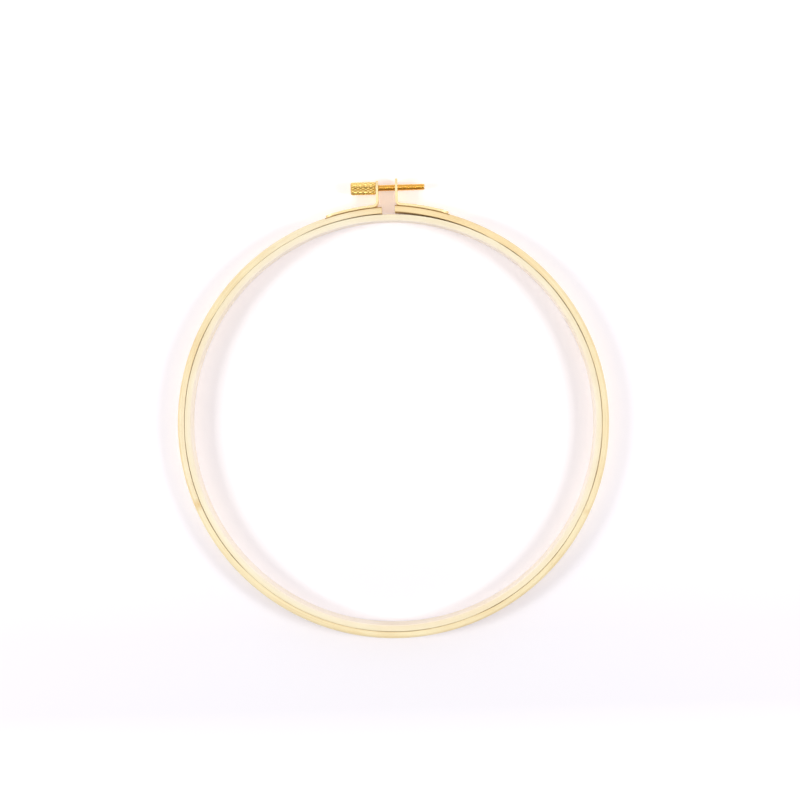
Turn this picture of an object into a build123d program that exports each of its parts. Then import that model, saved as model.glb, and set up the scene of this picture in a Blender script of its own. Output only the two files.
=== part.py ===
from build123d import *
import os
from math import cos, hypot, pi, sin, sqrt

# An embroidery hoop lying flat, in millimetres. The origin is on the axis of the rings, in the plane
# that the hoop lies on. +Z runs up that axis, +Y points at the clamp, and +X runs along the screw to
# its free end, so the knurled head is on the left. Distances from the split are measured along X.

# Rings of bent wood
ring_height = 9.0
inner_ring_radius = 86.45
inner_ring_wall = 2.7
seam_clearance = 0.2
outer_ring_wall = 2.8
outer_ring_bevel = 0.8
edge_chamfer = 0.3
seam_chamfer = 0.15

# Cut ends of the outer ring. The wood is less curved from the split to some way past the bracket's
# foot, by its flat margin, so each end stands off the inner ring by its lift.
left_end_gap = 2.15
left_end_lift = 0.3
left_flat_margin = 1.7
right_end_gap = 3.3
right_end_lift = 1.05
right_flat_margin = 19.7

# Brass strip of the brackets: a foot along the ring and a lug that stands up beside the split
strip_thickness = 1.0
strip_margin = 0.9
strip_end_share = 0.46
foot_reach = 25.3
seat_clearance = 0.05
left_lug_gap = 3.4
left_lug_rise = 3.1
left_bend = 1.6
right_lug_gap = 3.6
right_lug_rise = 3.8
right_bend = 1.1

# Rivets through the foot and the ring's wall, with a low head outside and a flared tail that is sunk
# in the ring's inner face. Their places are shares of the foot's reach.
rivet_shares = (0.423, 0.846)
rivet_radius = 0.8
rivet_head_radius = 1.75
rivet_head_rim = 0.12
rivet_head_height = 0.35
rivet_head_slope = 0.8
rivet_tail_radius = 1.3
rivet_tail_depth = 0.5
rivet_tail_recess = 0.25

# Screw, turned in one piece. It runs free in the left lug and is threaded through the right one.
screw_height = 8.3
screw_radius = 1.45
screw_end = 15.7
screw_chamfer = 0.35
running_clearance = 0.06
thread_clearance = 0.03
head_length = 10.4
head_radius = 2.65
head_chamfer = 0.45

# Diamond knurl of the head: two crossing sets of V grooves, this steep to the axis
knurl_grooves = 13
knurl_depth = 0.28
knurl_tangent = 0.6

cut_overrun = 1.0

seam_radius = inner_ring_radius + seam_clearance
outer_ring_radius = seam_radius + outer_ring_wall
foot_seat = outer_ring_wall + seat_clearance
strip_width = ring_height - 2 * strip_margin
rivet_reaches = [foot_reach * share for share in rivet_shares]
screw_y = outer_ring_radius + screw_height
middle_z = ring_height / 2


class End:
    """One cut end of the outer ring: side -1 is the left one, 1 the right one."""

    def __init__(self, side, lift, flat_margin):
        self.side = side
        stretch = foot_reach + flat_margin
        self.angle = stretch / seam_radius
        self.radius = 1 / (1 / seam_radius - 2 * lift / stretch**2)
        shift = self.radius - seam_radius
        self.centre = Vector(-side * shift * sin(self.angle), -shift * cos(self.angle))

    def point(self, distance, height):
        """A point this far from the split, this high above the ring's inner face."""
        x = self.side * distance
        drop = (self.radius + height) ** 2 - (x - self.centre.X) ** 2
        return Vector(x, self.centre.Y + sqrt(drop))

    def arc(self, near, far, height):
        """The less curved line along the wall between two distances from the split."""
        middle = (near + far) / 2
        return ThreePointArc(*(self.point(d, height) for d in (near, middle, far)))

    def outward(self, point):
        return (point - self.centre).normalized()

    def frame(self, distance):
        """A plane on the ring's inner face at half height, its Z pointing out through the wall."""
        foot = self.point(distance, 0)
        normal = self.outward(foot)
        return Plane(origin=(foot.X, foot.Y, middle_z), x_dir=(0, 0, 1), z_dir=(normal.X, normal.Y, 0))


left_end = End(-1, left_end_lift, left_flat_margin)
right_end = End(1, right_end_lift, right_flat_margin)


def turned(outline):
    """A solid turned about Z from its half section, given as radius and height."""
    points = [(radius, 0, height) for radius, height in outline]
    return revolve(make_face(Polyline(*points, close=True)), Axis.Z)


def make_inner_ring():
    wall = Circle(inner_ring_radius) - Circle(inner_ring_radius - inner_ring_wall)
    ring = extrude(wall, ring_height)
    edges = ring.edges().filter_by(GeomType.CIRCLE).sort_by(SortBy.RADIUS)
    ring = chamfer(edges[:2], edge_chamfer)
    seam = ring.edges().filter_by(GeomType.CIRCLE).sort_by(SortBy.RADIUS)[-2:]
    return chamfer(seam, seam_chamfer)


def wall_line(height):
    """The three arcs along the outer ring's wall, this high above its inner face."""
    radius = seam_radius + height
    left, right = radius * sin(left_end.angle), radius * sin(right_end.angle)
    left_rise, right_rise = radius * cos(left_end.angle), radius * cos(right_end.angle)
    return [
        left_end.arc(left_end_gap, left, height),
        ThreePointArc((-left, left_rise), (0, -radius), (right, right_rise)),
        right_end.arc(right_end_gap, right, height),
    ]


def from_axis(edge):
    """How far the middle of an edge lies from the rings' axis."""
    middle = edge @ 0.5
    return hypot(middle.X, middle.Y)


def make_outer_ring():
    cut_faces = [
        Line(end.point(gap, 0), end.point(gap, outer_ring_wall))
        for end, gap in ((left_end, left_end_gap), (right_end, right_end_gap))
    ]
    ring = extrude(make_face(wall_line(0) + wall_line(outer_ring_wall) + cut_faces), ring_height)
    mid_wall = seam_radius + outer_ring_wall / 2
    outside = [edge for edge in ring.edges().filter_by(GeomType.CIRCLE) if from_axis(edge) > mid_wall]
    ring = chamfer(outside, outer_ring_bevel)
    seam = [edge for edge in ring.edges().filter_by(GeomType.CIRCLE) if from_axis(edge) < mid_wall]
    ring = chamfer(seam, seam_chamfer)
    hole = rivet_hole()
    for end in (left_end, right_end):
        for reach in rivet_reaches:
            ring -= end.frame(reach) * hole
    return ring


def make_bracket(end, lug_gap, lug_rise, bend, bore_radius):
    near, far = lug_gap, lug_gap + strip_thickness
    tip = screw_y + lug_rise
    toe_in = end.point(foot_reach, foot_seat)
    toe_out = toe_in + end.outward(toe_in) * strip_thickness
    heel_in = end.point(near, foot_seat)
    heel_out = end.point(far, foot_seat + strip_thickness)
    outline = [
        Line(heel_in, (end.side * near, tip)),
        Line((end.side * near, tip), (end.side * far, tip)),
        Line((end.side * far, tip), heel_out),
        end.arc(far, abs(toe_out.X), foot_seat + strip_thickness),
        Line(toe_out, toe_in),
        end.arc(near, foot_reach, foot_seat),
    ]
    profile = make_face(outline)
    profile = fillet(profile.vertices().sort_by_distance((heel_out.X, heel_out.Y))[0], bend)
    profile = fillet(profile.vertices().sort_by_distance((heel_in.X, heel_in.Y))[0], bend + strip_thickness)
    strip = Pos(0, 0, middle_z - strip_width / 2) * extrude(profile, strip_width)
    corners = strip.edges().filter_by(GeomType.LINE).sort_by(SortBy.LENGTH)[:4]
    strip = fillet(corners, strip_width * strip_end_share)
    bore = Cylinder(bore_radius, strip_thickness + 2 * cut_overrun)
    strip -= Plane(origin=(end.side * (near + far) / 2, screw_y, middle_z), z_dir=(1, 0, 0)) * bore
    shank = Cylinder(rivet_radius + seat_clearance, 2 * (foot_seat + strip_thickness + cut_overrun))
    for reach in rivet_reaches:
        strip -= end.frame(reach) * shank
    return strip


def rivet_hole():
    """What a rivet takes out of the ring: a plain hole, flared and recessed at the inner face."""
    tail = rivet_tail_radius + seat_clearance
    shank = rivet_radius + seat_clearance
    flare_end = rivet_tail_recess + rivet_tail_depth
    return turned([
        (0, -cut_overrun),
        (tail, -cut_overrun),
        (tail, rivet_tail_recess),
        (shank, flare_end),
        (shank, outer_ring_wall + cut_overrun),
        (0, outer_ring_wall + cut_overrun),
    ])


def make_rivet(frame):
    under_head = foot_seat + strip_thickness
    top = under_head + rivet_head_height
    return frame * turned([
        (0, rivet_tail_recess),
        (rivet_tail_radius, rivet_tail_recess),
        (rivet_radius, rivet_tail_recess + rivet_tail_depth),
        (rivet_radius, under_head),
        (rivet_head_radius, under_head),
        (rivet_head_radius, under_head + rivet_head_rim),
        (rivet_head_radius - rivet_head_slope, top),
        (0, top),
    ])


def knurled_head():
    """The head along Z from 0, as what two opposite twists of one toothed section share."""
    points = []
    for n in range(2 * knurl_grooves):
        radius = head_radius - knurl_depth * (n % 2)
        angle = pi * n / knurl_grooves
        points.append((radius * cos(angle), radius * sin(angle)))
    section = make_face(Polyline(*points, close=True))
    twist = head_length * knurl_tangent / head_radius * 180 / pi
    twists = [
        Solid.extrude_linear_with_rotation(section.face(), (0, 0, 0), (0, 0, head_length), angle)
        for angle in (twist, -twist)
    ]
    cone = head_chamfer + cut_overrun
    ends = turned([
        (0, 0),
        (head_radius - head_chamfer, 0),
        (head_radius + cut_overrun, cone),
        (head_radius + cut_overrun, head_length - cone),
        (head_radius - head_chamfer, head_length),
        (0, head_length),
    ])
    return (twists[0] & ends) & twists[1]


def make_screw():
    head_face = left_lug_gap + strip_thickness
    rod_length = head_face + screw_end
    rod = turned([
        (0, -cut_overrun),
        (screw_radius, -cut_overrun),
        (screw_radius, rod_length - screw_chamfer),
        (screw_radius - screw_chamfer, rod_length),
        (0, rod_length),
    ])
    screw = rod + Pos(0, 0, -head_length) * knurled_head()
    return Plane(origin=(-head_face, screw_y, middle_z), z_dir=(1, 0, 0)) * screw


parts = {
    "inner_ring": make_inner_ring(),
    "outer_ring": make_outer_ring(),
    "left_bracket": make_bracket(
        left_end, left_lug_gap, left_lug_rise, left_bend, screw_radius + running_clearance
    ),
    "right_bracket": make_bracket(
        right_end, right_lug_gap, right_lug_rise, right_bend, screw_radius + thread_clearance
    ),
    "clamp_screw": make_screw(),
}
for side, end in (("left", left_end), ("right", right_end)):
    for place, reach in zip(("end", "tip"), rivet_reaches):
        parts[f"{side}_{place}_rivet"] = make_rivet(end.frame(reach))

os.makedirs("parts", exist_ok=True)
for name, part in parts.items():
    export_step(part, f"parts/{name}.step")
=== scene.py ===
import bmesh
import bpy
import math
from mathutils import Matrix, Vector
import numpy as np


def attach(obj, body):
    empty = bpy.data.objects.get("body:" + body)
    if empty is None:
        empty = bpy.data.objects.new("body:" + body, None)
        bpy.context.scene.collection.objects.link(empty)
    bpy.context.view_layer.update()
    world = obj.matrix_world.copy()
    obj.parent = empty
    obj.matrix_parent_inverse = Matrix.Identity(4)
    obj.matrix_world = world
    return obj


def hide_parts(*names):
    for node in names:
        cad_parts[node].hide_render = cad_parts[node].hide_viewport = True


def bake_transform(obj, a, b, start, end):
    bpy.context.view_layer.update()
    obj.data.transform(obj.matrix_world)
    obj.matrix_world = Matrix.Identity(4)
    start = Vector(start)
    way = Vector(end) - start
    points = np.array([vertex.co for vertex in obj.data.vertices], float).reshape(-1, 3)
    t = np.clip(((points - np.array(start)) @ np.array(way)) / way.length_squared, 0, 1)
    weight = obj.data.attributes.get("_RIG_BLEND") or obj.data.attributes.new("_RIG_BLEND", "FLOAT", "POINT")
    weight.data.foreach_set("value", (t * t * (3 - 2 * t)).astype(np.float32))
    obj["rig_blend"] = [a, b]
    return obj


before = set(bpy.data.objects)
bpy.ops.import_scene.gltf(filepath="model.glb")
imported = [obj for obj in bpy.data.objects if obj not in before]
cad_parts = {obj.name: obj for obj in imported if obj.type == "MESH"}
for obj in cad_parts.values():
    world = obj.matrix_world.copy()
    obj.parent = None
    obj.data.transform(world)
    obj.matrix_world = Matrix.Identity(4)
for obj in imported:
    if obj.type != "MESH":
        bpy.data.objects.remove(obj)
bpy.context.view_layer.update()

mm = 0.001
tau = 2 * math.pi

# sizes that several pieces share
hoop = {
    "height": 9 * mm,
    "seamRadius": 86.65 * mm,  # inner face of the outer ring
    "outerWall": 2.8 * mm,
    "innerRadius": 86.45 * mm,  # outer face of the inner ring
    "innerWall": 2.7 * mm,
    "gap": {-1: 2.15 * mm, 1: 3.3 * mm},  # from the middle of the split to the left and right ends
    "lift": {-1: 0.3 * mm, 1: 1.05 * mm},  # of each end off the inner ring
    "flatStretch": {-1: 27 * mm, 1: 45 * mm},  # from the split to where each end starts to lift
    "seat": 0.05 * mm,  # between the wood and a bracket's foot
    "strip": 1.0 * mm,  # thickness of the brackets
    "reach": 25.3 * mm,  # from the split to the toes of the feet
    "rivetShares": (0.423, 0.846),  # of the reach
    "lugGap": {-1: 3.4 * mm, 1: 3.6 * mm},  # from the split to the lugs
    "screwHeight": 8.3 * mm,  # over the outer ring
}
hoop["middle"] = hoop["height"] / 2
hoop["outerRadius"] = hoop["seamRadius"] + hoop["outerWall"]
hoop["flatAngle"] = {side: stretch / hoop["seamRadius"] for side, stretch in hoop["flatStretch"].items()}
hoop["footSeat"] = hoop["outerWall"] + hoop["seat"]
hoop["rivetReach"] = [hoop["reach"] * share for share in hoop["rivetShares"]]
hoop["screwY"] = hoop["outerRadius"] + hoop["screwHeight"]
hoop["headFace"] = hoop["lugGap"][-1] + hoop["strip"]

mesh = {
    "weld": 0.002 * mm,  # points closer than this are merged
    "smoothAngle": 35,  # faces that meet at less than this are shaded as one
    "easeAngle": 50,  # edges that turn by more than this are eased
}


def clearAll():
    if bpy.context.object and bpy.context.object.mode == "EDIT":
        bpy.ops.object.mode_set(mode="OBJECT")
    bpy.ops.object.select_all(action="DESELECT")


def only(piece):
    clearAll()
    piece.select_set(True)
    bpy.context.view_layer.objects.active = piece


def edit(piece):
    only(piece)
    bpy.ops.object.mode_set(mode="EDIT")


def leave():
    bpy.ops.object.mode_set(mode="OBJECT")


def pickAll():
    bpy.ops.mesh.select_all(action="SELECT")


# selects what passes the test in the mesh that is being edited
def pick(kind, test):
    data = bpy.context.object.data
    bpy.ops.mesh.select_mode(type=kind)
    bpy.ops.mesh.select_all(action="DESELECT")
    work = bmesh.from_edit_mesh(data)
    for item in {"VERT": work.verts, "EDGE": work.edges, "FACE": work.faces}[kind]:
        if test(item):
            item.select_set(True)
    work.select_flush_mode()
    bmesh.update_edit_mesh(data)


def rename(piece, name):
    piece.name = name
    piece.data.name = name


def freshPiece(name):
    piece = bpy.context.object
    rename(piece, name)
    bpy.ops.object.transform_apply(location=True, rotation=True, scale=True)
    return piece


def useModifier(piece, kind, **settings):
    only(piece)
    modifier = piece.modifiers.new(kind.lower(), kind)
    for key, value in settings.items():
        setattr(modifier, key, value)
    bpy.ops.object.modifier_apply(modifier=modifier.name)


def easeEdges(piece, width, segments):
    limit = math.radians(mesh["easeAngle"])
    useModifier(piece, "BEVEL", width=width, segments=segments, limit_method="ANGLE", angle_limit=limit)


# cuts one piece with another, which is then thrown away
def cutWith(piece, tool, operation="DIFFERENCE"):
    useModifier(piece, "BOOLEAN", operation=operation, object=tool, solver="EXACT")
    bpy.data.objects.remove(tool)


def tidyNormals(piece, smoothAngle=mesh["smoothAngle"]):
    edit(piece)
    pickAll()
    bpy.ops.mesh.remove_doubles(threshold=mesh["weld"])
    bpy.ops.mesh.normals_make_consistent(inside=False)
    leave()
    bpy.ops.object.shade_smooth_by_angle(angle=math.radians(smoothAngle))


def moveVertices(piece, place):
    for vertex in piece.data.vertices:
        vertex.co = place(vertex.co)
    piece.data.update()


def copyOf(piece, name):
    other = piece.copy()
    other.data = piece.data.copy()
    rename(other, name)
    bpy.context.collection.objects.link(other)
    return other


def setFinish(piece, *materials):
    piece.data.materials.clear()
    for material in materials:
        piece.data.materials.append(material)


def newMaterial(name):
    material = bpy.data.materials.new(name)
    material.use_nodes = True
    material.node_tree.nodes.clear()
    return material, material.node_tree


# sockets are linked to another node's output, or set to a value
def addNode(tree, kind, sockets=None, **settings):
    node = tree.nodes.new(kind)
    for key, value in settings.items():
        setattr(node, key, value)
    for key, value in (sockets or {}).items():
        if isinstance(value, bpy.types.NodeSocket):
            tree.links.new(value, node.inputs[key])
        else:
            node.inputs[key].default_value = value
    return node


def calc(tree, operation, first, second=0.0):
    return addNode(tree, "ShaderNodeMath", {0: first, 1: second}, operation=operation).outputs[0]


def vectorCalc(tree, operation, first, second=(0, 0, 0)):
    node = addNode(tree, "ShaderNodeVectorMath", {0: first, 1: second}, operation=operation)
    return node.outputs["Vector" if operation == "MULTIPLY" else "Value"]


def product(tree, first, *others):
    for other in others:
        first = calc(tree, "MULTIPLY", first, other)
    return first


# a value with a share of another added
def addShare(tree, value, other, share):
    return calc(tree, "ADD", value, calc(tree, "MULTIPLY", other, share))


def parted(tree, vector, axis):
    return addNode(tree, "ShaderNodeSeparateXYZ", {0: vector}).outputs[axis]


def objectPlace(tree):
    return addNode(tree, "ShaderNodeTexCoord").outputs["Object"]


def attribute(tree, name, output):
    return addNode(tree, "ShaderNodeAttribute", attribute_name=name).outputs[output]


def noise(tree, vector, scale, detail):
    node = addNode(tree, "ShaderNodeTexNoise", {"Vector": vector, "Scale": scale, "Detail": detail})
    return node.outputs["Fac"]


# stops are pairs of a place and the tone there
def ramp(tree, value, *stops):
    node = addNode(tree, "ShaderNodeValToRGB", {"Fac": value})
    bar = node.color_ramp.elements
    while len(bar) < len(stops):
        bar.new(0.5)
    for element, (place, tone) in zip(bar, stops):
        element.position = place
        element.color = (tone, tone, tone, 1)
    return node.outputs["Color"]


def blendColours(tree, amount, first, second):
    node = addNode(tree, "ShaderNodeMix", data_type="RGBA")
    for key, value in (("Factor_Float", amount), ("A_Color", first), ("B_Color", second)):
        socket = next(s for s in node.inputs if s.identifier == key)
        if isinstance(value, bpy.types.NodeSocket):
            tree.links.new(value, socket)
        elif key == "Factor_Float":
            socket.default_value = value
        else:
            socket.default_value = (*value, 1)
    return next(s for s in node.outputs if s.identifier == "Result_Color")


# the shader that every finish ends with; bump is the strength and the height of the relief
def addSurface(tree, colour, rough, relief, bump, metallic=1.0, specular=0.5):
    strength, distance = bump
    normal = addNode(tree, "ShaderNodeBump", {"Height": relief, "Strength": strength, "Distance": distance})
    shader = addNode(
        tree, "ShaderNodeBsdfPrincipled",
        {"Base Color": colour, "Roughness": rough, "Normal": normal.outputs[0]},
    )
    shader.inputs["Metallic"].default_value = metallic
    shader.inputs["Specular IOR Level"].default_value = specular
    addNode(tree, "ShaderNodeOutputMaterial", {"Surface": shader.outputs[0]})


# wood: each layer of grain has so many waves to a radian of turn and to a metre across
woodNoise = {
    "bands": {
        "waves": (1.6, 1500.0), "detail": 2.0, "warp": 0.35,
        "stops": ((0.36, 0.0), (0.52, 0.35), (0.68, 1.0)),
    },
    "blotch": {"waves": (5.0, 90.0), "detail": 2.0, "warp": 0.0, "stops": ((0.35, 0.0), (0.7, 1.0))},
    "fibres": {"waves": (9.0, 6500.0), "detail": 4.0, "warp": 0.0, "stops": ((0.42, 0.0), (0.75, 1.0))},
    "flecks": {"waves": (70.0, 7000.0), "detail": 1.0, "warp": 0.0, "stops": ((0.66, 0.0), (0.74, 1.0))},
    "patches": {"waves": (12.0, 40.0), "detail": 2.0, "warp": 0.0, "stops": ((0.35, 0.45), (0.6, 1.0))},
}
woodSurface = {
    "noiseRoughness": 0.55,
    "depthUnit": 100 * mm,  # the wall's stops are shares of it
    "endGrain": 0.2,  # how much darker the cut ends are
    "markStops": ((0.2, 1.0), (1.0, 0.0)),  # over a mark's size
    "stretchCore": 0.4,  # share of a stretch that has its full colour
    "stretchAmount": 0.85,
    "roughSpread": 0.22,
    "fleckDepth": 0.6,
    "bump": (0.35, 0.06 * mm),
    "specular": 0.35,
}
# where painted shade darkens the arrises at the seam: distance from the seam in mm, and nearness to the
# strip's edge
seamShadePlace = {
    "radius": hoop["seamRadius"] - 0.1 * mm,
    "depthStops": ((0.12, 0.9), (0.26, 0.0)),
    "edgeStops": ((0.88, 0.0), (0.97, 1.0)),
}

outerFace = hoop["outerRadius"] / woodSurface["depthUnit"]
outerWoodLook = {
    "pale": (0.98, 0.865, 0.575),
    "dark": (0.80, 0.55, 0.24),
    "wall": (0.96, 0.84, 0.60),  # the upright faces, inside and out: paler than the cut edges, as veneer faces are, and paler still as painted light on them
    "wallStops": ((outerFace - 0.003, 0.0), (outerFace - 0.001, 1.0)),
    "seam": (0.45, 0.27, 0.10),  # painted shade on the arrises at the seam
    "shares": {"bands": 0.30, "blotch": 0.30, "fibres": 0.20, "flecks": 0.55},
    "roughness": 0.55,
    # darker spots on the upper edge: turn, size, strength
    "marks": ((math.radians(249), 3.0 * mm, 0.6), (math.radians(116), 1.6 * mm, 0.3)),
    # stretches of warmer and paler wood: turn of the middle, half the length, colour
    "stretches": (
        (math.radians(17), math.radians(38), (1.0, 0.79, 0.44)),
        (math.radians(340), math.radians(20), (0.99, 0.90, 0.67)),
        (math.radians(264), math.radians(24), (0.99, 0.89, 0.66)),
    ),
    # painted shade on the rounded outer arris, a darker rim: where it begins, the width of the change, fading
    # at the split
    "rim": {
        "colour": (0.91, 0.775, 0.49),
        "start": hoop["outerRadius"] - 1.15 * mm,
        "width": 0.4 * mm,
        "splitStops": ((0.4, 1.0), (0.85, 0.0)),
    },
    # painted shade along the brackets' feet: depth in mm, and nearness to the strip's edge
    "footShade": {
        "colour": (0.34, 0.16, 0.02),
        "depthStops": ((0.35, 0.95), (0.75, 0.0)),
        "edgeStops": ((0.74, 0.0), (0.80, 1.0), (0.91, 1.0), (0.97, 0.0)),
    },
}
innerFace = (hoop["innerRadius"] - hoop["innerWall"]) / woodSurface["depthUnit"]
innerWoodLook = {
    "pale": (0.96, 0.88, 0.69),
    "dark": (0.86, 0.68, 0.43),
    # the inner upright face: paler as a veneer face, and paler still as painted light on it
    "wall": (0.99, 0.88, 0.82),
    "wallStops": ((innerFace + 0.001, 1.0), (innerFace + 0.004, 0.0)),
    # painted shade on the arrises at the seam
    "seam": (0.45, 0.29, 0.13),
    "shares": {"bands": 0.22, "blotch": 0.30, "fibres": 0.16, "flecks": 0.40},
    "roughness": 0.60,
    "marks": (),
    "stretches": (
        (math.radians(165), math.radians(40), (0.97, 0.84, 0.60)),
        (math.radians(325), math.radians(35), (0.98, 0.90, 0.72)),
    ),
    # painted shade: a darker band on the top face towards the seam
    "rim": {
        "colour": (0.955, 0.85, 0.60),
        "start": hoop["innerRadius"] - 1.6 * mm,
        "width": 1.0 * mm,
        "splitStops": ((0.4, 1.0), (0.85, 0.5)),
    },
}


# noise along the bent strip, plain and sorted by the layer's stops
def grain(tree, around, depth, layer):
    along, across = layer["waves"]
    plain = addNode(
        tree, "ShaderNodeTexNoise",
        {"Vector": vectorCalc(tree, "MULTIPLY", around, (along, along, across)),
         "W": calc(tree, "MULTIPLY", depth, across), "Scale": 1.0, "Detail": layer["detail"],
         "Roughness": woodSurface["noiseRoughness"], "Distortion": layer["warp"]},
        noise_dimensions="4D",
    ).outputs["Fac"]
    return plain, ramp(tree, plain, *layer["stops"])


# 0 half way up the strip, 1 at its upper and lower edges
def edgeNearness(tree, around):
    fromMiddle = calc(tree, "SUBTRACT", parted(tree, around, "Z"), hoop["middle"])
    return calc(tree, "DIVIDE", calc(tree, "ABSOLUTE", fromMiddle), hoop["middle"])


# painted shade: a dark line where the brackets' feet bear on the wood
def paintedFootShade(tree, around, depth, footShade):
    toe = math.cos(hoop["reach"] / hoop["seamRadius"])
    underFoot = calc(tree, "GREATER_THAN", parted(tree, around, "X"), toe)
    fromFace = calc(tree, "SUBTRACT", hoop["outerRadius"], depth)
    atFace = ramp(tree, calc(tree, "DIVIDE", fromFace, mm), *footShade["depthStops"])
    return product(tree, underFoot, atFace, ramp(tree, edgeNearness(tree, around), *footShade["edgeStops"]))


# painted shade: the arrises at the seam are darkened, in patches, where the rings stand apart
def paintedSeamShade(tree, around, depth, patches):
    away = calc(tree, "ABSOLUTE", calc(tree, "SUBTRACT", depth, seamShadePlace["radius"]))
    atSeam = ramp(tree, calc(tree, "DIVIDE", away, mm), *seamShadePlace["depthStops"])
    atEdge = ramp(tree, edgeNearness(tree, around), *seamShadePlace["edgeStops"])
    return product(tree, atSeam, atEdge, patches, attribute(tree, "apart", "Fac"))


def darkMark(tree, turn, size):
    radius = hoop["seamRadius"] + hoop["outerWall"] / 2
    place = (radius * math.sin(turn), radius * math.cos(turn), hoop["height"])
    away = vectorCalc(tree, "DISTANCE", objectPlace(tree), place)
    return ramp(tree, calc(tree, "DIVIDE", away, size), *woodSurface["markStops"])


def inStretch(tree, around, turn, reach):
    alike = vectorCalc(tree, "DOT_PRODUCT", around, (math.cos(turn), math.sin(turn), 0))
    core = math.cos(reach * woodSurface["stretchCore"])
    return ramp(tree, alike, (math.cos(reach), 0.0), (core, woodSurface["stretchAmount"]))


# painted shade along an arris: 0 inwards of the rim's start, 1 past its width, fading towards the split
def atShadedRim(tree, around, depth, rim):
    outwards = calc(tree, "DIVIDE", calc(tree, "SUBTRACT", depth, rim["start"]), rim["width"])
    awayFromSplit = ramp(tree, parted(tree, around, "X"), *rim["splitStops"])
    return product(tree, ramp(tree, outwards, (0.0, 0.0), (1.0, 1.0)), awayFromSplit)


def woodFinish(name, look, endGrain=False):
    material, tree = newMaterial(name)
    around = attribute(tree, "around", "Vector")
    depth = attribute(tree, "depth", "Fac")
    layers = {layer: grain(tree, around, depth, settings) for layer, settings in woodNoise.items()}
    fibres = layers["fibres"][0]
    flecks = layers["flecks"][1]

    tone = woodSurface["endGrain"] if endGrain else 0.0
    for layer, share in look["shares"].items():
        tone = addShare(tree, tone, layers[layer][1], share)
    for turn, size, strength in look["marks"]:
        tone = addShare(tree, tone, darkMark(tree, turn, size), strength)

    pale = look["pale"]
    for turn, reach, tint in look["stretches"]:
        pale = blendColours(tree, inStretch(tree, around, turn, reach), pale, tint)
    # painted shade on the rim
    pale = blendColours(tree, atShadedRim(tree, around, depth, look["rim"]), pale, look["rim"]["colour"])
    # partly painted light: the paler colour on the upright faces
    onWall = ramp(tree, calc(tree, "DIVIDE", depth, woodSurface["depthUnit"]), *look["wallStops"])
    pale = blendColours(tree, onWall, pale, look["wall"])
    colour = blendColours(tree, calc(tree, "MINIMUM", tone, 1.0), pale, look["dark"])
    # painted shade along the seam, darker in patches
    darkening = paintedSeamShade(tree, around, depth, layers["patches"][1])
    colour = blendColours(tree, darkening, colour, look["seam"])
    # painted shade where the brackets' feet bear on the wood
    if "footShade" in look:
        footShaded = paintedFootShade(tree, around, depth, look["footShade"])
        colour = blendColours(tree, footShaded, colour, look["footShade"]["colour"])

    relief = calc(tree, "SUBTRACT", fibres, calc(tree, "MULTIPLY", flecks, woodSurface["fleckDepth"]))
    spread = woodSurface["roughSpread"]
    rough = addShare(tree, look["roughness"] - spread / 2, fibres, spread)
    addSurface(tree, colour, rough, relief, woodSurface["bump"], 0.0, woodSurface["specular"])
    return material


# brass: a spread is how much the roughness changes with what it names
bracketLook = {"bright": (0.90, 0.68, 0.29), "dull": (0.66, 0.43, 0.15), "roughness": 0.27}
bracketEdgeLook = {"bright": (0.87, 0.71, 0.41), "dull": (0.74, 0.55, 0.25), "roughness": 0.56}
sheetSurface = {
    "lineWaves": (120.0, 5200.0, 5200.0),  # to a metre along, across and through the strip
    "lineDetail": 4.0,
    "lineSpread": 0.16,
    "cloud": (260.0, 3.0),  # scale and detail
    "tarnishStops": ((0.48, 0.0), (0.80, 1.0)),
    "tarnishShare": 0.45,
    "tarnishSpread": 0.10,
    "bump": (0.20, 0.03 * mm),
}
screwLook = {
    "head": (1.0, 0.77, 0.28),
    "rod": (1.0, 0.74, 0.24),
    "darkening": (0.46, 0.19, 0.02),
    "headRoughness": 0.30,
    "rodRoughness": 0.24,
    "radiusUnit": 3 * mm,  # the stops of the grime are shares of it
    "headStops": ((0.79, 1.0), (0.83, 0.0)),
    "rodStops": ((0.385, 0.8), (0.42, 0.0)),
    "rings": (4200.0, 3.0),  # scale and detail
    "ringSpread": 0.14,
    "cloud": (900.0, 4.0),
    "cloudShare": 0.7,
    "leastDarkening": 0.35,
    "darkeningSpread": 0.25,
    "bump": (0.18, 0.03 * mm),
}
rivetLook = {
    "bright": (0.36, 0.24, 0.11),
    "dull": (0.15, 0.09, 0.04),
    "roughness": 0.48,
    "dimples": 1700.0,  # to a metre
    "cloud": (1500.0, 4.0),
    "tarnishStops": ((0.42, 0.0), (0.72, 1.0)),
    "tarnishShare": 0.7,
    "tarnishSpread": 0.18,
    "bump": (0.30, 0.08 * mm),
}


# rolled strip, with fine lines along it and faint tarnish
def sheetBrass(name, look):
    surface = sheetSurface
    material, tree = newMaterial(name)
    strip = attribute(tree, "strip", "Vector")
    lines = noise(tree, vectorCalc(tree, "MULTIPLY", strip, surface["lineWaves"]), 1.0, surface["lineDetail"])
    tarnish = ramp(tree, noise(tree, strip, *surface["cloud"]), *surface["tarnishStops"])
    dulled = calc(tree, "MULTIPLY", tarnish, surface["tarnishShare"])
    colour = blendColours(tree, dulled, look["bright"], look["dull"])
    rough = addShare(tree, look["roughness"] - surface["lineSpread"] / 2, lines, surface["lineSpread"])
    rough = addShare(tree, rough, tarnish, surface["tarnishSpread"])
    addSurface(tree, colour, rough, lines, surface["bump"])
    return material
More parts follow.
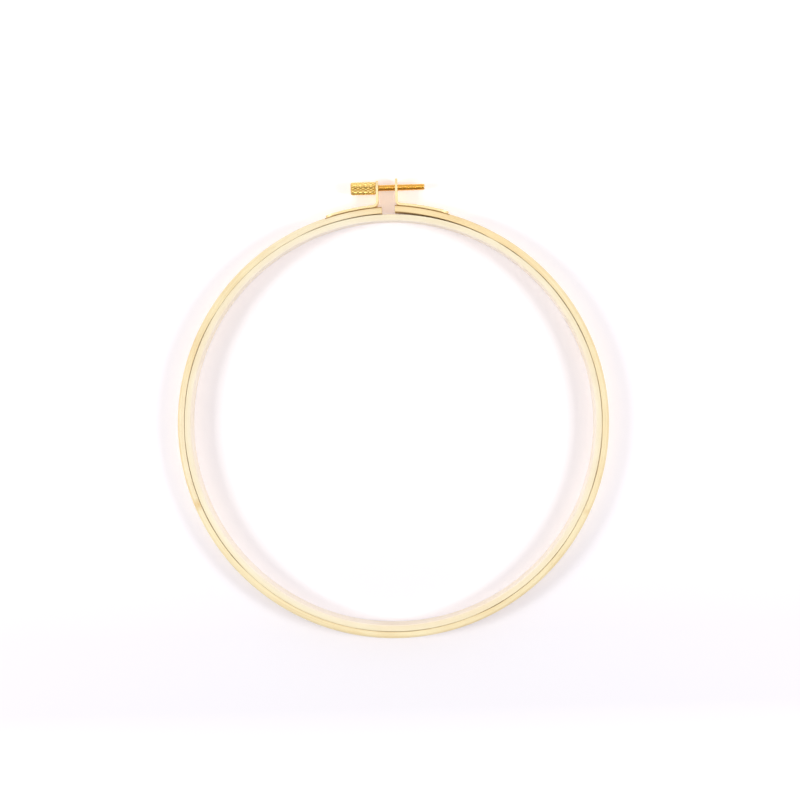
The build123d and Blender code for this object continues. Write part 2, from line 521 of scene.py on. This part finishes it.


# bar turned on a lathe: rings round its axis, and darker colour deep in the knurl and the thread
def turnedBrass(name, look):
    material, tree = newMaterial(name)
    toAxis = (0.0, -hoop["screwY"], -hoop["middle"])
    local = addNode(
        tree, "ShaderNodeMapping", {"Vector": objectPlace(tree), "Location": toAxis}
    ).outputs[0]
    along = parted(tree, local, "X")
    flat = addNode(
        tree, "ShaderNodeCombineXYZ", {"Y": parted(tree, local, "Y"), "Z": parted(tree, local, "Z")}
    ).outputs[0]
    radius = vectorCalc(tree, "LENGTH", flat)
    turned = addNode(tree, "ShaderNodeCombineXYZ", {"X": along, "Y": radius}).outputs[0]
    rings = noise(tree, turned, *look["rings"])
    cloud = noise(tree, local, *look["cloud"])
    onHead = calc(tree, "LESS_THAN", along, -hoop["headFace"])

    share = calc(tree, "DIVIDE", radius, look["radiusUnit"])
    headDeep = ramp(tree, share, *look["headStops"])
    rodDeep = ramp(tree, share, *look["rodStops"])
    deep = blendColours(tree, onHead, rodDeep, headDeep)
    darkening = calc(tree, "MULTIPLY", deep, addShare(tree, look["leastDarkening"], cloud, look["cloudShare"]))
    clean = blendColours(tree, onHead, look["rod"], look["head"])
    colour = blendColours(tree, calc(tree, "MINIMUM", darkening, 1.0), clean, look["darkening"])

    step = look["headRoughness"] - look["rodRoughness"]
    rough = addShare(tree, look["rodRoughness"] - look["ringSpread"] / 2, onHead, step)
    rough = addShare(tree, rough, rings, look["ringSpread"])
    rough = addShare(tree, rough, darkening, look["darkeningSpread"])
    addSurface(tree, colour, rough, rings, look["bump"])
    return material


# rivets, with small hammered dimples and darker specks
def peenedBrass(name, look):
    material, tree = newMaterial(name)
    place = objectPlace(tree)
    dimples = addNode(
        tree, "ShaderNodeTexVoronoi", {"Vector": place, "Scale": look["dimples"]}, feature="SMOOTH_F1"
    ).outputs["Distance"]
    tarnish = ramp(tree, noise(tree, place, *look["cloud"]), *look["tarnishStops"])
    dulled = calc(tree, "MULTIPLY", tarnish, look["tarnishShare"])
    colour = blendColours(tree, dulled, look["bright"], look["dull"])
    rough = addShare(tree, look["roughness"], tarnish, look["tarnishSpread"])
    addSurface(tree, colour, rough, dimples, look["bump"])
    return material


outerWood = woodFinish("outerWood", outerWoodLook)
outerEndGrain = woodFinish("outerEndGrain", outerWoodLook, endGrain=True)
innerWood = woodFinish("innerWood", innerWoodLook)
bracketBrass = sheetBrass("bracketBrass", bracketLook)
bracketEdge = sheetBrass("bracketEdge", bracketEdgeLook)
screwBrass = turnedBrass("screwBrass", screwLook)
rivetBrass = peenedBrass("rivetBrass", rivetLook)
print("finishes made")


# the cross section of both rings' strips; the rounds and steps are each ring's own
sectionShape = {
    "cornerShare": 0.4,  # of the wall: corners lie further than this from its middle
    "roundSteps": 7,
    "longEdge": 1.2 * mm,
    "cuts": 4,
}
innerRingShape = {"outsideRound": 0.12 * mm, "insideRound": 0.4 * mm, "steps": 360}
outerRingShape = {
    "outsideRound": 1.3 * mm,
    "insideRound": 0.12 * mm,
    "steps": 180,
    "endFacing": 0.99,  # how squarely a cut end faces the split
    "endReach": 4 * mm,  # how far from the middle of the split a cut end can lie
}


# a strip spun from its cross section, which stands at -Y as a loop of edges
def spinStrip(name, radius, wall, shape, angle):
    clearAll()
    bpy.ops.mesh.primitive_plane_add(
        size=1, location=(0, -radius, hoop["middle"]), rotation=(math.pi / 2, 0, math.pi / 2)
    )
    bpy.context.object.scale = (wall, hoop["height"], 1)
    piece = freshPiece(name)
    edit(piece)
    for side, size in ((-1, shape["outsideRound"]), (1, shape["insideRound"])):
        pick("VERT", lambda v: (v.co.y + radius) * side > wall * sectionShape["cornerShare"])
        bpy.ops.mesh.bevel(offset=size, segments=sectionShape["roundSteps"], affect="VERTICES")
    pick("FACE", lambda f: True)
    bpy.ops.mesh.delete(type="ONLY_FACE")
    pick("EDGE", lambda e: e.calc_length() > sectionShape["longEdge"])
    bpy.ops.mesh.subdivide(number_cuts=sectionShape["cuts"])
    pickAll()
    bpy.ops.mesh.spin(steps=shape["steps"], angle=angle, center=(0, 0, 0), axis=(0, 0, 1))
    leave()
    tidyNormals(piece)
    return piece


# the flatter arc that an end of the outer ring follows: its radius and centre
def endArc(side):
    curvature = 1 / hoop["seamRadius"] - 2 * hoop["lift"][side] / hoop["flatStretch"][side] ** 2
    radius = 1 / curvature
    shift = radius - hoop["seamRadius"]
    angle = hoop["flatAngle"][side]
    return radius, Vector((-side * shift * math.sin(angle), -shift * math.cos(angle), 0))


# a point's turn and its distance from the axis, as if the ends weren't lifted
def straighten(point, side):
    if side:
        radius, centre = endArc(side)
        angle = math.atan2(side * (point.x - centre.x), point.y - centre.y)
        if angle < hoop["flatAngle"][side]:
            turn = hoop["flatAngle"][side] - radius / hoop["seamRadius"] * (hoop["flatAngle"][side] - angle)
            away = math.hypot(point.x - centre.x, point.y - centre.y)
            return side * turn, away - radius + hoop["seamRadius"]
    return math.atan2(point.x, point.y), math.hypot(point.x, point.y)


# the two rings touch in some places and stand a little apart in others
seamShape = {
    "closest": 0.13 * mm,
    # turn in degrees, and how much closer the outer ring lies there, as a share of the closest
    "closeness": (
        (0, 0.0), (25, 0.0), (30, 0.9), (36, 0.1), (43, 0.9), (48, 0.1), (66, 0.1), (73, 0.5), (86, 0.4),
        (92, 0.7), (98, 0.3), (108, 0.3), (116, 0.7), (125, 0.5), (146, 0.5), (152, 0.1), (160, 0.9),
        (168, 0.7), (179, 0.3), (187, 0.7), (194, 0.9), (225, 0.9), (232, 0.1), (262, 0.1), (268, 0.5),
        (283, 0.4), (288, 0.1), (297, 0.2), (305, 0.9), (333, 0.9), (342, 0.1), (350, 0.0), (360, 0.0),
    ),
}


def howClose(point):
    turn = math.degrees(math.atan2(point.x, point.y)) % 360
    for (start, low), (end, high) in zip(seamShape["closeness"], seamShape["closeness"][1:]):
        if start <= turn <= end:
            return low + (high - low) * (1 - math.cos(math.pi * (turn - start) / (end - start))) / 2


# keeps where each point lies on the strip before it was bent, for the grain
def markStrip(piece, side=0):
    attributes = piece.data.attributes
    attributes.new("around", "FLOAT_VECTOR", "POINT")
    attributes.new("depth", "FLOAT", "POINT")
    attributes.new("apart", "FLOAT", "POINT")
    around, depth, apart = (attributes[name].data for name in ("around", "depth", "apart"))
    for i, vertex in enumerate(piece.data.vertices):
        turn, distance = straighten(vertex.co, side)
        around[i].vector = (math.cos(turn), math.sin(turn), vertex.co.z)
        depth[i].value = distance
        apart[i].value = 1 - howClose(vertex.co)


middleRadius = hoop["innerRadius"] - hoop["innerWall"] / 2
innerRing = spinStrip("innerRing", middleRadius, hoop["innerWall"], innerRingShape, tau)
markStrip(innerRing)
setFinish(innerRing, innerWood)
print("inner ring", len(innerRing.data.polygons), "faces")


# brings the inner face of the outer ring closer to the inner ring
def settle(point):
    distance = math.hypot(point.x, point.y)
    if distance > hoop["seamRadius"] + hoop["outerWall"] / 2:
        return point
    scale = 1 - howClose(point) * seamShape["closest"] / distance
    return Vector((point.x * scale, point.y * scale, point.z))


# moves a point of the round strip on to the end that stands off
def liftEnd(side):
    radius, centre = endArc(side)

    def place(point):
        turn = math.atan2(side * point.x, point.y)
        if not 0 <= turn < hoop["flatAngle"][side] or point.y < 0:
            return point
        height = math.hypot(point.x, point.y) - hoop["seamRadius"]
        angle = hoop["flatAngle"][side] - hoop["seamRadius"] / radius * (hoop["flatAngle"][side] - turn)
        reach = radius + height
        x = centre.x + side * reach * math.sin(angle)
        y = centre.y + reach * math.cos(angle)
        return Vector((x, y, point.z))

    return place


# a frame on an end's inner face at half height, its Z out through the wall
def endFrame(side, reach):
    radius, centre = endArc(side)
    x = side * reach
    y = centre.y + math.sqrt(radius ** 2 - (x - centre.x) ** 2)
    normal = Vector((x - centre.x, y - centre.y, 0)).normalized()
    up = Vector((0, 0, 1))
    across = normal.cross(up)
    frameMatrix = Matrix((up, across, normal)).transposed().to_4x4()
    frameMatrix.translation = Vector((x, y, hoop["middle"]))
    return frameMatrix


def makeHalf(name, side):
    radius = hoop["seamRadius"] + hoop["outerWall"] / 2
    half = spinStrip(name, radius, hoop["outerWall"], outerRingShape, -side * math.pi)
    moveVertices(half, settle)
    moveVertices(half, liftEnd(side))
    edit(half)
    pick("FACE", lambda f: f.calc_center_median().y > 0)
    bpy.ops.mesh.bisect(
        plane_co=(side * hoop["gap"][side], 0, 0), plane_no=(side, 0, 0), clear_inner=True, use_fill=True
    )
    pick("EDGE", lambda e: e.is_boundary)
    bpy.ops.mesh.edge_face_add()
    leave()
    tidyNormals(half)
    return half


def isCutEnd(face, side):
    facesSplit = side * face.normal.x < -outerRingShape["endFacing"]
    return facesSplit and face.center.y > 0 and abs(face.center.x) < outerRingShape["endReach"]


outerLeft = makeHalf("outerRing.left", -1)
outerRight = makeHalf("outerRing.right", 1)
print("outer ring", len(outerLeft.data.polygons), len(outerRight.data.polygons), "faces")

for piece, side in ((outerLeft, -1), (outerRight, 1)):
    setFinish(piece, outerWood, outerEndGrain)
    for face in piece.data.polygons:
        if isCutEnd(face, side):
            face.material_index = 1


rivetShape = {
    "radius": 0.8 * mm,
    "headRadius": 1.75 * mm,
    "headHeight": 0.35 * mm,
    "rim": 0.12 * mm,
    "rimEase": 0.04 * mm,
    "domeRings": 6,
    "crownRadius": 0.1 * mm,  # of the flat left on the dome
    "tailRadius": 1.3 * mm,
    "tailDepth": 0.5 * mm,
    "tailRim": 0.05 * mm,
    "recess": 0.25 * mm,
    "sides": 40,
    "clearance": 0.05 * mm,
    "overrun": 1 * mm,  # of the cutter, inside the ring
    "smoothAngle": 40,
    "slack": 0.01 * mm,  # for finding the top face
}


# draws the top face of a turned piece up and to a new radius
def raiseTop(height, radius, lift):
    pick("FACE", lambda f: f.normal.z > 0.9 and f.calc_center_median().z > height - rivetShape["slack"])
    bpy.ops.mesh.extrude_region_move(TRANSFORM_OT_translate={"value": (0, 0, lift)})
    top = [v for v in bmesh.from_edit_mesh(bpy.context.object.data).verts if v.select]
    scale = radius / math.hypot(top[0].co.x, top[0].co.y)
    bpy.ops.transform.resize(value=(scale, scale, 1), center_override=(0, 0, height + lift))


# the flared tail and the shank, from this height over the ring's inner face to that
def addShank(name, foot, top, grow):
    shape = rivetShape
    clearAll()
    bpy.ops.mesh.primitive_cylinder_add(
        vertices=shape["sides"], radius=shape["tailRadius"] + grow, depth=1 * mm, end_fill_type="NGON"
    )
    piece = freshPiece(name)
    moveVertices(piece, lambda p: Vector((p.x, p.y, foot if p.z < 0 else shape["recess"])))
    edit(piece)
    flareEnd = shape["recess"] + shape["tailDepth"]
    raiseTop(shape["recess"], shape["radius"] + grow, shape["tailDepth"])
    raiseTop(flareEnd, shape["radius"] + grow, top - flareEnd)
    return piece


# a rivet stands on Z: the shank, then a low domed head on the bracket's foot
def makeRivet(name):
    shape = rivetShape
    seat = hoop["footSeat"] + hoop["strip"]
    rivet = addShank(name, shape["recess"] - shape["tailRim"], seat, 0)
    raiseTop(seat, shape["headRadius"] - shape["rimEase"], 0)
    raiseTop(seat, shape["headRadius"], shape["rimEase"])
    raiseTop(seat + shape["rimEase"], shape["headRadius"], shape["rim"] - shape["rimEase"])
    level = seat + shape["rim"]
    for n in range(1, shape["domeRings"] + 1):
        lean = n / shape["domeRings"] * math.pi / 2
        top = seat + shape["rim"] + (shape["headHeight"] - shape["rim"]) * math.sin(lean)
        raiseTop(level, max(shape["headRadius"] * math.cos(lean), shape["crownRadius"]), top - level)
        level = top
    leave()
    tidyNormals(rivet, shape["smoothAngle"])
    return rivet


cutter = addShank(
    "rivetCutter", -rivetShape["overrun"], hoop["footSeat"] + 2 * hoop["strip"], rivetShape["clearance"]
)
leave()
for piece, side in ((outerLeft, -1), (outerRight, 1)):
    for reach in hoop["rivetReach"]:
        tool = copyOf(cutter, "holeTool")
        tool.data.transform(endFrame(side, reach))
        cutWith(piece, tool)
    tidyNormals(piece)
    markStrip(piece, side)
bpy.data.objects.remove(cutter)
print("rivet holes cut", len(outerLeft.data.polygons), len(outerRight.data.polygons))

rivets = []
patternRivet = makeRivet("rivet")
for side, word in ((-1, "left"), (1, "right")):
    for place, reach in zip(("End", "Tip"), hoop["rivetReach"]):
        rivet = copyOf(patternRivet, word + place + "Rivet")
        rivet.data.transform(endFrame(side, reach))
        setFinish(rivet, rivetBrass)
        rivets.append((rivet, side, word + "_" + place.lower() + "_rivet"))
bpy.data.objects.remove(patternRivet)
print("rivets made")


bracketShape = {
    "width": 7.2 * mm,
    "endRound": 3.31 * mm,
    "endSteps": 14,
    "ease": 0.17 * mm,
    "easeSteps": 3,
    "edgeFacing": 0.3,  # faces of the flat blank that lean more than this are its edges
    "rise": {-1: 3.1 * mm, 1: 3.8 * mm},
    "bend": {-1: 1.6 * mm, 1: 1.1 * mm},
    "bendCuts": 12,
    "footCuts": 24,
    "bore": {-1: 1.51 * mm, 1: 1.48 * mm},
    "rivetHole": 0.85 * mm,
    "holeSides": 40,
    "punch": 4 * mm,
    "smoothAngle": 40,
}


# a flat blank of strip is punched, its edges are eased, and then it is bent to the ring
def makeBracket(name, side):
    shape = bracketShape
    half = hoop["strip"] / 2
    radius, centre = endArc(side)
    near = hoop["lugGap"][side]
    tip = hoop["screwY"] + shape["rise"][side]
    neutral = shape["bend"][side] + half  # radius of the bend's middle line
    footRadius = radius + hoop["footSeat"] + half
    bendX = side * (near + hoop["strip"] + shape["bend"][side])
    bendY = centre.y + math.sqrt((footRadius + neutral) ** 2 - (bendX - centre.x) ** 2)
    footStart = math.asin(side * (bendX - centre.x) / (footRadius + neutral))
    toe = side * hoop["reach"] - centre.x
    footEnd = math.asin(side * toe / (radius + hoop["footSeat"]))
    lugLength = tip - bendY
    bendLength = neutral * (math.pi / 2 - footStart)
    footLength = footRadius * (footEnd - footStart)
    length = lugLength + bendLength + footLength

    # from the flat blank, along X with its outside up, to the bent strip
    def bent(point):
        s, across, out = point.x, point.y, point.z
        z = hoop["middle"] + across
        if s < lugLength:
            return Vector((side * (near + half + out), tip - s, z))
        if s < lugLength + bendLength:
            angle = (s - lugLength) / neutral
            reach = neutral - out
            return Vector((bendX - side * reach * math.cos(angle), bendY - reach * math.sin(angle), z))
        angle = footStart + (s - lugLength - bendLength) / footRadius
        reach = footRadius + out
        return Vector((centre.x + side * reach * math.sin(angle), centre.y + reach * math.cos(angle), z))

    clearAll()
    bpy.ops.mesh.primitive_cube_add(size=1, location=(length / 2, 0, 0))
    bpy.context.object.scale = (length, shape["width"], hoop["strip"])
    piece = freshPiece(name)
    edit(piece)
    pick("EDGE", lambda e: abs(e.verts[0].co.z - e.verts[1].co.z) > half)
    bpy.ops.mesh.bevel(offset=shape["endRound"], segments=shape["endSteps"], affect="EDGES")
    leave()

    holes = [(tip - hoop["screwY"], shape["bore"][side])]
    for reach in hoop["rivetReach"]:
        angle = math.asin(side * (side * reach - centre.x) / radius)
        holes.append((lugLength + bendLength + footRadius * (angle - footStart), shape["rivetHole"]))
    for place, size in holes:
        clearAll()
        bpy.ops.mesh.primitive_cylinder_add(
            vertices=shape["holeSides"], radius=size, depth=shape["punch"], location=(place, 0, 0)
        )
        cutWith(piece, freshPiece("punch"))
    edit(piece)
    pickAll()
    bpy.ops.mesh.remove_doubles(threshold=mesh["weld"])
    bpy.ops.mesh.dissolve_limited(angle_limit=math.radians(1))
    leave()
    easeEdges(piece, shape["ease"], shape["easeSteps"])

    cuts = [lugLength + bendLength * n / shape["bendCuts"] for n in range(shape["bendCuts"] + 1)]
    cuts += [lugLength + bendLength + footLength * n / shape["footCuts"] for n in range(1, shape["footCuts"])]
    edit(piece)
    for cut in cuts:
        pickAll()
        bpy.ops.mesh.bisect(plane_co=(cut, 0, 0), plane_no=(1, 0, 0))
    leave()
    setFinish(piece, bracketBrass, bracketEdge)
    for face in piece.data.polygons:
        face.material_index = 1 if abs(face.normal.z) < shape["edgeFacing"] else 0
    strip = piece.data.attributes.new("strip", "FLOAT_VECTOR", "POINT")
    for i, vertex in enumerate(piece.data.vertices):
        strip.data[i].vector = vertex.co
    moveVertices(piece, bent)
    tidyNormals(piece, shape["smoothAngle"])
    return piece


leftBracket = makeBracket("leftBracket", -1)
rightBracket = makeBracket("rightBracket", 1)
print("brackets made", len(leftBracket.data.polygons), len(rightBracket.data.polygons))


# the screw is made along Z, with its head below 0, and then laid along X
screwShape = {
    "headLength": 10.4 * mm,
    "headRadius": 2.65 * mm,
    "headChamfer": 0.45 * mm,
    "headSides": 72,
    "headSmoothAngle": 20,
    "diamonds": 13,
    "rows": 12,
    "rowStep": 1.066 * mm,
    "valley": 2.37 * mm,
    "peak": 0.42 * mm,  # of a diamond over its rim, trimmed to the head's radius
    "rodLength": 20.1 * mm,
    "rodRadius": 1.45 * mm,
    "rootRadius": 1.15 * mm,
    "rodChamfer": 0.35 * mm,
    "rodSides": 28,
    "rodSmoothAngle": 30,
    "pitch": 0.5 * mm,
    # one tooth, as steps outwards in shares of its depth and upwards in shares of the pitch
    "tooth": ((0, 0.12), (1, 0.33), (0, 0.10), (-1, 0.33), (0, 0.12)),
    "spareTurns": 3,
}


# rings of corners, each turned half a step from the next, whose diamonds are raised and cut to a bar
def makeHead():
    shape = screwShape
    height = shape["rows"] * shape["rowStep"]
    middle = -shape["headLength"] / 2
    clearAll()
    bpy.ops.mesh.primitive_cylinder_add(
        vertices=shape["diamonds"], radius=shape["valley"], depth=height, end_fill_type="NOTHING",
        location=(0, 0, middle),
    )
    head = freshPiece("screwHead")
    edit(head)
    pick("EDGE", lambda e: abs(e.verts[0].co.z - e.verts[1].co.z) > height / 2)
    bpy.ops.mesh.subdivide(number_cuts=shape["rows"] - 1)
    low = middle - height / 2
    pick("VERT", lambda v: round((v.co.z - low) / shape["rowStep"]) % 2 == 1)
    bpy.ops.transform.rotate(value=math.pi / shape["diamonds"], orient_axis="Z", center_override=(0, 0, 0))
    pickAll()
    bpy.ops.mesh.quads_convert_to_tris(quad_method="SHORTEST_DIAGONAL")
    pick("EDGE", lambda e: not e.is_boundary and abs(e.verts[0].co.z - e.verts[1].co.z) < 0.1 * mm)
    bpy.ops.mesh.dissolve_edges(use_verts=False)
    pick("FACE", lambda f: len(f.verts) == 4)
    bpy.ops.mesh.poke(offset=shape["peak"])
    pick("EDGE", lambda e: e.is_boundary)
    bpy.ops.mesh.edge_face_add()
    pickAll()
    bpy.ops.mesh.normals_make_consistent(inside=False)
    leave()
    clearAll()
    bpy.ops.mesh.primitive_cylinder_add(
        vertices=shape["headSides"], radius=shape["headRadius"], depth=shape["headLength"],
        location=(0, 0, middle),
    )
    blank = freshPiece("headBlank")
    easeEdges(blank, shape["headChamfer"], 1)
    cutWith(head, blank, "INTERSECT")
    tidyNormals(head, shape["headSmoothAngle"])
    return head


# one tooth of the thread's outline, wound up the rod and cut off at both ends
def makeRod():
    shape = screwShape
    clearAll()
    bpy.ops.mesh.primitive_circle_add(vertices=3, radius=0.1 * mm, location=(0, 0, 0))
    rod = freshPiece("screwRod")
    edit(rod)
    pick("VERT", lambda v: v.index > 0)
    bpy.ops.mesh.delete(type="VERT")
    pickAll()
    start = bmesh.from_edit_mesh(rod.data).verts
    start.ensure_lookup_table()
    start[0].co = Vector((shape["rootRadius"], 0, -shape["pitch"]))
    deep = shape["rodRadius"] - shape["rootRadius"]
    for out, up in shape["tooth"]:
        step = (out * deep, 0, up * shape["pitch"])
        bpy.ops.mesh.extrude_vertices_move(TRANSFORM_OT_translate={"value": step})
    leave()
    useModifier(
        rod, "SCREW", axis="Z", screw_offset=shape["pitch"],
        iterations=int(shape["rodLength"] / shape["pitch"]) + shape["spareTurns"],
        steps=shape["rodSides"], render_steps=shape["rodSides"],
        use_merge_vertices=True, merge_threshold=mesh["weld"],
    )
    edit(rod)
    for height, clear in ((0, "clear_inner"), (shape["rodLength"], "clear_outer")):
        pickAll()
        bpy.ops.mesh.bisect(plane_co=(0, 0, height), plane_no=(0, 0, 1), use_fill=True, **{clear: True})
    leave()

    def easeEnd(point):
        limit = shape["rodRadius"] - max(0, point.z - shape["rodLength"] + shape["rodChamfer"])
        radius = math.hypot(point.x, point.y)
        shrink = min(1, limit / radius) if radius > 0 else 1
        return Vector((point.x * shrink, point.y * shrink, point.z))

    moveVertices(rod, easeEnd)
    tidyNormals(rod, shape["rodSmoothAngle"])
    return rod


clampScrew = makeHead()
screwRod = makeRod()
clearAll()
screwRod.select_set(True)
clampScrew.select_set(True)
bpy.context.view_layer.objects.active = clampScrew
bpy.ops.object.join()
rename(clampScrew, "clampScrew")
toHeadFace = Matrix.Translation((-hoop["headFace"], hoop["screwY"], hoop["middle"]))
clampScrew.data.transform(toHeadFace @ Matrix.Rotation(math.pi / 2, 4, "Y"))
setFinish(clampScrew, screwBrass)
print("screw made", len(clampScrew.data.polygons), "faces")


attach(innerRing, "inner")
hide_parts("inner_ring")
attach(outerLeft, "hoop")
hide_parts("outer_ring")
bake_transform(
    outerRight, "hoop", "clamp_end",
    start=(0, -hoop["seamRadius"] - hoop["outerWall"], 0), end=(0, 85 * mm, 0)
)
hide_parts("outer_ring")
for piece, body, node in (
    (leftBracket, "hoop", "left_bracket"), (rightBracket, "clamp_end", "right_bracket")
):
    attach(piece, body)
    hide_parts(node)
for rivet, side, node in rivets:
    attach(rivet, "hoop" if side < 0 else "clamp_end")
    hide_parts(node)
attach(clampScrew, "screw")
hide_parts("clamp_screw")
print("pieces ride on their bodies")


# the table's glow is only for what looks at it: the camera and reflections. It changes from zone to zone,
# which paints light and shade on the table
tableLook = {
    "colour": (0.85, 0.85, 0.85),
    "size": 3.0,
    "inside": (0.20, 0.15, 0.17),  # the glow within the ring
    # painted light: more glow outside the ring, which pales the shadows there
    "outside": (0.22, 0.185, 0.235),
    "clamp": (0.42, 0.32, 0.31),  # painted light beyond the ring's top, which pales the shadows round the clamp
    "near": (0.10, 0.07, 0.12),  # painted shade below the ring, where the glow is less
    "far": (0.80, 0.80, 0.80),  # painted light where little of the lamps' light falls
    "zoneStart": -0.2,  # along Y, where the next two rows of stops begin
    "zoneLength": 0.4,  # which they are shares of
    "clampStops": ((0.71, 0.0), (0.725, 1.0)),
    "nearStops": ((0.14, 0.0), (0.20, 1.0), (0.28, 0.9), (0.42, 0.0)),
    "farStops": ((0.17, 0.0), (0.95, 1.0)),  # from the middle to the edge
}


def tableFinish(name, look):
    material, tree = newMaterial(name)
    rays = addNode(tree, "ShaderNodeLightPath")
    matte = addNode(tree, "ShaderNodeBsdfDiffuse", {"Color": (*look["colour"], 1)})
    here = objectPlace(tree)
    fromAxis = vectorCalc(tree, "LENGTH", here)
    alongY = calc(tree, "SUBTRACT", parted(tree, here, "Y"), look["zoneStart"])
    share = calc(tree, "DIVIDE", alongY, look["zoneLength"])
    beyond = calc(tree, "GREATER_THAN", fromAxis, hoop["seamRadius"])
    farOut = calc(tree, "DIVIDE", fromAxis, look["size"] / 2)
    # painted light and shade: the glow is set zone by zone
    tone = blendColours(tree, beyond, look["inside"], look["outside"])
    tone = blendColours(tree, ramp(tree, share, *look["clampStops"]), tone, look["clamp"])
    tone = blendColours(tree, ramp(tree, share, *look["nearStops"]), tone, look["near"])
    tone = blendColours(tree, ramp(tree, farOut, *look["farStops"]), tone, look["far"])
    glow = addNode(tree, "ShaderNodeEmission", {"Color": tone, "Strength": 1.0})
    both = addNode(tree, "ShaderNodeAddShader", {0: matte.outputs[0], 1: glow.outputs[0]})
    looks = calc(tree, "MAXIMUM", rays.outputs["Is Camera Ray"], rays.outputs["Is Glossy Ray"])
    seen = addNode(tree, "ShaderNodeMixShader", {0: looks, 1: matte.outputs[0], 2: both.outputs[0]})
    addNode(tree, "ShaderNodeOutputMaterial", {"Surface": seen.outputs[0]})
    return material


clearAll()
bpy.ops.mesh.primitive_plane_add(size=tableLook["size"], location=(0, 0, 0))
table = freshPiece("table")
setFinish(table, tableFinish("tableWhite", tableLook))

lampLook = {
    "left": {"place": (-0.95, -0.05, 0.76), "size": 0.30, "power": 5.9},
    "right": {"place": (0.92, -0.08, 0.80), "size": 0.30, "power": 5.6},
    "overhead": {"place": (0.0, 0.28, 1.3), "size": 0.28, "power": 1.1},
}
for name, look in lampLook.items():
    lamp = bpy.data.lights.new(name + "Lamp", "AREA")
    lamp.size = look["size"]
    lamp.energy = look["power"]
    holder = bpy.data.objects.new(name + "Lamp", lamp)
    bpy.context.collection.objects.link(holder)
    holder.location = look["place"]
    holder.rotation_euler = (Vector((0, 0, 0)) - Vector(look["place"])).to_track_quat("-Z", "Y").to_euler()

# a pale room whose walls are brighter than its ceiling; its reflection is white above and towards +Y,
# and dark towards -Y, where the camera stands
worldLook = {
    "zenith": 0.25,
    "horizon": 0.96,
    "tilt": 0.20,
    "reflected": ((0.16, 0.05), (0.33, 0.5), (0.44, 1.0)),
}
world = bpy.data.worlds.new("studio")
world.use_nodes = True
bpy.context.scene.world = world
tree = world.node_tree
tree.nodes.clear()
rays = addNode(tree, "ShaderNodeLightPath")
toward = addNode(tree, "ShaderNodeTexCoord").outputs["Generated"]
towardY = parted(tree, toward, "Y")
rise = calc(tree, "MAXIMUM", parted(tree, toward, "Z"), 0.0)
lit = calc(tree, "MULTIPLY", rise, worldLook["zenith"] - worldLook["horizon"])
lit = addShare(tree, lit, towardY, worldLook["tilt"])
lit = calc(tree, "ADD", lit, worldLook["horizon"])
reflected = ramp(tree, calc(tree, "DIVIDE", calc(tree, "ADD", towardY, 1.0), 2.0), *worldLook["reflected"])
strength = blendColours(tree, rays.outputs["Is Glossy Ray"], lit, reflected)
strength = blendColours(tree, rays.outputs["Is Camera Ray"], strength, (1.0, 1.0, 1.0))
background = addNode(tree, "ShaderNodeBackground", {"Color": (1, 1, 1, 1), "Strength": strength})
addNode(tree, "ShaderNodeOutputWorld", {"Surface": background.outputs[0]})

cameraLook = {
    "place": Vector((15.4, 28.45, 629.0)) * mm,
    "target": Vector((3.25, 9.75, 9.0)) * mm,
    "roll": math.radians(1.6),
    "lens": 67.5,
    "sensor": 36,
}
camera = bpy.data.objects.new("camera", bpy.data.cameras.new("camera"))
bpy.context.collection.objects.link(camera)
ahead = (cameraLook["target"] - cameraLook["place"]).normalized()
across = ahead.cross(Vector((math.sin(cameraLook["roll"]), math.cos(cameraLook["roll"]), 0))).normalized()
turned = Matrix((across, across.cross(ahead), -ahead)).transposed().to_4x4()
camera.matrix_world = Matrix.Translation(cameraLook["place"]) @ turned
camera.data.lens = cameraLook["lens"]
camera.data.sensor_width = cameraLook["sensor"]
bpy.context.scene.camera = camera
bpy.context.scene.view_settings.view_transform = "Standard"
print("stage set")
